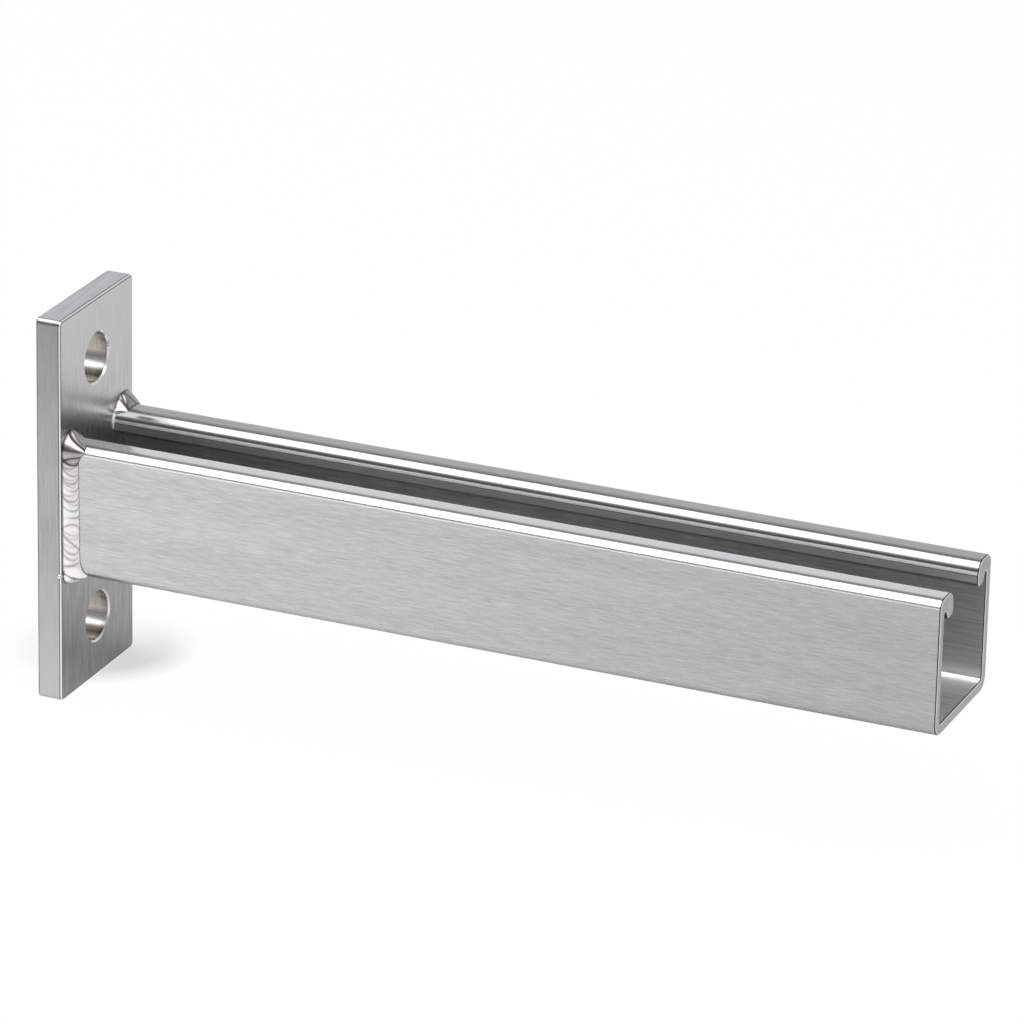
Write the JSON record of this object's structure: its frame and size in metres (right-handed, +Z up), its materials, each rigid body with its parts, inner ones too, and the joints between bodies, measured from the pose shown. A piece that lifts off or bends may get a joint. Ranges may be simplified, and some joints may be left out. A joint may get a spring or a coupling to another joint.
{
  "type": "cantilever strut arm",
  "caption": "Stainless steel cantilever arm: an open strut channel welded square to a drilled base plate, slot upwards, to carry pipe or cable off a wall.",
  "frame": {"origin": "middle of the base plate's back face, the face that lies on the wall", "axes": "+X runs out along the arm from the wall, +Z is up with the channel's slot facing it, and +Y is across the plate"},
  "size_m": [0.276, 0.047, 0.118],
  "materials": {
    "plate_steel": "brushed up and down, eased edges",
    "channel_steel": "brushed along the arm",
    "weld_metal": "as laid, rippled and bright"
  },
  "bodies": {
    "root": {"base_plate": "plate_steel", "strut_channel": "channel_steel", "near_side_weld": "weld_metal", "underside_weld": "weld_metal", "far_side_weld": "weld_metal"}
  },
  "joints": []
}
